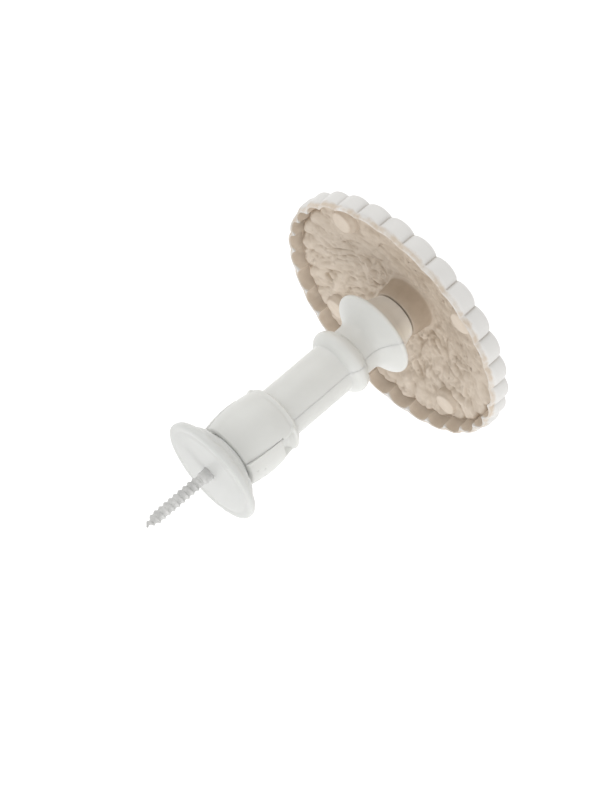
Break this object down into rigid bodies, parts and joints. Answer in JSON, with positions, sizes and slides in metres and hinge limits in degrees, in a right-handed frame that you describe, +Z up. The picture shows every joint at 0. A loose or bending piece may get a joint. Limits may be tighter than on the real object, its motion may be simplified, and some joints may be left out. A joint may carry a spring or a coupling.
{
  "type": "curtain holdback",
  "caption": "Wall-mounted curtain holdback: wood screw, round wall plate, turned post with squeeze-release foot, and a hollow scalloped rosette on a threaded rod.",
  "frame": {"origin": "centre of the wall plate's flat back face, where it rests on the wall", "axes": "the wall is the plane Y = 0 with the room on -Y; the post's axis runs along -Y; +Z is up; the release latches are on +X and -X"},
  "size_m": [0.1217, 0.1615, 0.1218],
  "materials": {
    "screw_steel": "dull zinc-plated steel",
    "white_plastic": "semi-gloss white moulded plastic",
    "white_nylon": "satin white nylon",
    "ivory_plastic": "semi-gloss off-white moulded plastic",
    "pin_steel": "bright drawn wire",
    "spring_steel": "spring wire",
    "zinc_steel": "zinc-plated steel",
    "black_rubber": "matt black rubber",
    "brass": "machined brass",
    "cast_resin": "cast resin, bare beige back, painted white on its edge and front"
  },
  "bodies": {
    "plate": {"wall_plate": "white_plastic", "lock_stud": "white_nylon"},
    "screw": {"wall_screw": "screw_steel"},
    "post": {"foot_barrel": "white_plastic", "latch_pin_left": "pin_steel", "latch_pin_right": "pin_steel", "latch_spring_left": "spring_steel", "latch_spring_right": "spring_steel", "post_shell_upper": "white_plastic", "post_shell_lower": "white_plastic", "tie_rod": "zinc_steel", "rod_nut": "zinc_steel", "rod_washer": "zinc_steel", "rod_spring_washer": "spring_steel", "spacer_hub": "ivory_plastic", "rubber_washer": "black_rubber"},
    "latch_left": {"release_latch_left": "white_plastic"},
    "latch_right": {"release_latch_right": "white_plastic"},
    "rosette_body": {"rosette": "cast_resin", "threaded_insert": "brass"}
  },
  "joints": [
    {"name": "screw_turn", "type": "hinge", "parent": "plate", "child": "screw", "pos_m": [0, 0, 0], "axis": [0, -1, 0], "continuous": true},
    {"name": "post_turn", "type": "hinge", "parent": "plate", "child": "post", "pos_m": [0, -0.0173, 0], "axis": [0, -1, 0], "continuous": true},
    {"name": "latch_left_press", "type": "hinge", "parent": "post", "child": "latch_left", "pos_m": [-0.0114, -0.0213, 0], "axis": [0, 0, 1], "range_deg": [0, 4.5], "stiffness_Nm_per_rad": 0.15, "springref_deg": -2.29, "deforming": ["latch_spring_left"]},
    {"name": "latch_right_press", "type": "hinge", "parent": "post", "child": "latch_right", "pos_m": [0.0114, -0.0213, 0], "axis": [0, 0, -1], "range_deg": [0, 4.5], "stiffness_Nm_per_rad": 0.15, "springref_deg": -2.29, "deforming": ["latch_spring_right"]},
    {"name": "rosette_turn", "type": "hinge", "parent": "post", "child": "rosette_body", "pos_m": [0, -0.1093, 0], "axis": [0, -1, 0], "continuous": true}
  ]
}
